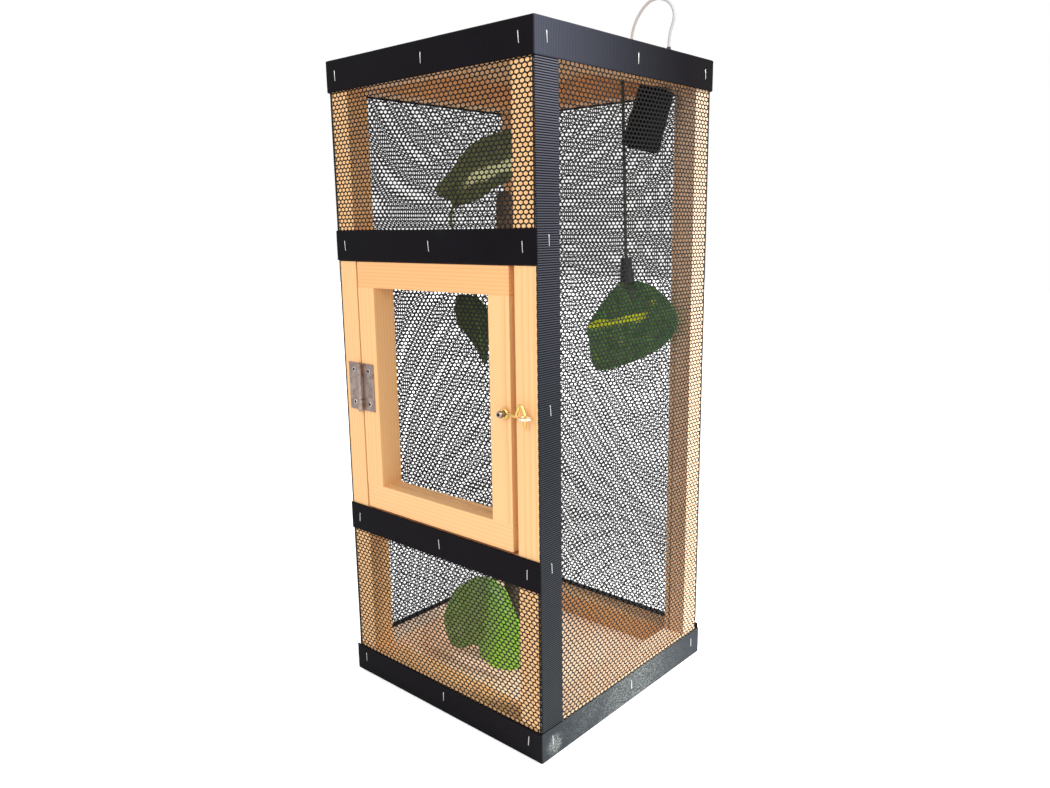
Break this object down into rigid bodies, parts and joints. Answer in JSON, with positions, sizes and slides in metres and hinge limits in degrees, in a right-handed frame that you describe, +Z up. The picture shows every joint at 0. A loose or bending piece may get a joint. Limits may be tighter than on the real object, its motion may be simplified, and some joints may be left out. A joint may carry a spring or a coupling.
{
  "type": "terrarium",
  "caption": "Tall netted wooden terrarium: pine frame bound with black netting and nylon webbing, hinged net door with brass hook and eye, spot lamp on a cord, leafy branch inside.",
  "frame": {"origin": "Middle of the underside of the floor panel, where the terrarium stands.", "axes": "+Z is up, -Y is the front with the door, +X is to the right seen from the front."},
  "size_m": [0.275, 0.3399, 0.7133],
  "materials": {
    "pine": "smooth sanded pine, clear and warm",
    "netting": "knitted black net, matt",
    "webbing": "woven black nylon, ribbed, with a faint sheen",
    "staple_steel": "bright wire",
    "screw_steel": "plain zinc",
    "hinge_steel": "aged steel, slightly dull",
    "dark_screw": "dark grey, satin",
    "brass": "polished",
    "lamp_black": "satin black",
    "lamp_glass": "frosted",
    "cord_pale": "pale beige sheath, smooth",
    "plug_pale": "pale beige moulding",
    "grommet_black": "black, smooth",
    "bark": "rough brown bark",
    "leaf_pale": "pale yellow-green with a cream stripe, satin",
    "leaf_dark": "dark green, satin",
    "leaf_bright": "bright green, satin",
    "leaf_striped": "dark green with a yellow stripe, satin"
  },
  "bodies": {
    "frame": {"bottom_rail_back": "pine", "bottom_rail_front": "pine", "bottom_rail_left": "pine", "bottom_rail_right": "pine", "top_rail_back": "pine", "top_rail_front": "pine", "top_rail_left": "pine", "top_rail_right": "pine", "post_back_left": "pine", "post_back_right": "pine", "post_front_left": "pine", "post_front_right": "pine", "upper_cross_rail": "pine", "lower_cross_rail": "pine", "floor_panel": "pine", "top_panel": "pine", "net_front_top": "netting", "net_front_bottom": "netting", "net_back": "netting", "net_left": "netting", "net_right": "netting", "top_strap": "webbing", "bottom_strap_front_right": "webbing", "bottom_strap_rear_left": "webbing", "upper_middle_strap": "webbing", "lower_middle_strap": "webbing", "side_webbing_left": "webbing", "side_webbing_right": "webbing", "staples": "staple_steel", "frame_screws": "screw_steel", "panel_screws": "screw_steel", "hinge_frame_leaf": "hinge_steel", "hinge_pin": "hinge_steel", "hinge_frame_screws": "hinge_steel", "latch_eye": "brass", "lamp_housing": "lamp_black", "lamp_bulb": "lamp_glass", "lamp_stem": "lamp_black", "lamp_nuts": "lamp_black", "lamp_lead": "cord_pale", "cord": "cord_pale", "cord_coil": "cord_pale", "plug": "plug_pale", "cord_grommet": "grommet_black", "branch": "bark", "upper_leaf": "leaf_pale", "middle_leaf": "leaf_dark", "lower_leaf": "leaf_bright", "hanging_leaf": "leaf_striped"},
    "door": {"door_rail_bottom": "pine", "door_rail_top": "pine", "door_stile_hinge": "pine", "door_stile_latch": "pine", "door_screws": "screw_steel", "hinge_door_leaf": "hinge_steel", "hinge_door_screws": "hinge_steel", "latch_pivot_screw": "dark_screw", "net_door": "netting", "staples_door": "staple_steel"},
    "hook": {"latch_hook": "brass"}
  },
  "joints": [
    {"name": "door_hinge", "type": "hinge", "parent": "frame", "child": "door", "pos_m": [-0.1075, -0.1393, 0.32715], "axis": [0, 0, -1], "range_deg": [0, 175]},
    {"name": "hook_pivot", "type": "hinge", "parent": "door", "child": "hook", "pos_m": [0.0965, -0.139, 0.327], "axis": [0, -1, 0], "range_deg": [0, 110]}
  ]
}
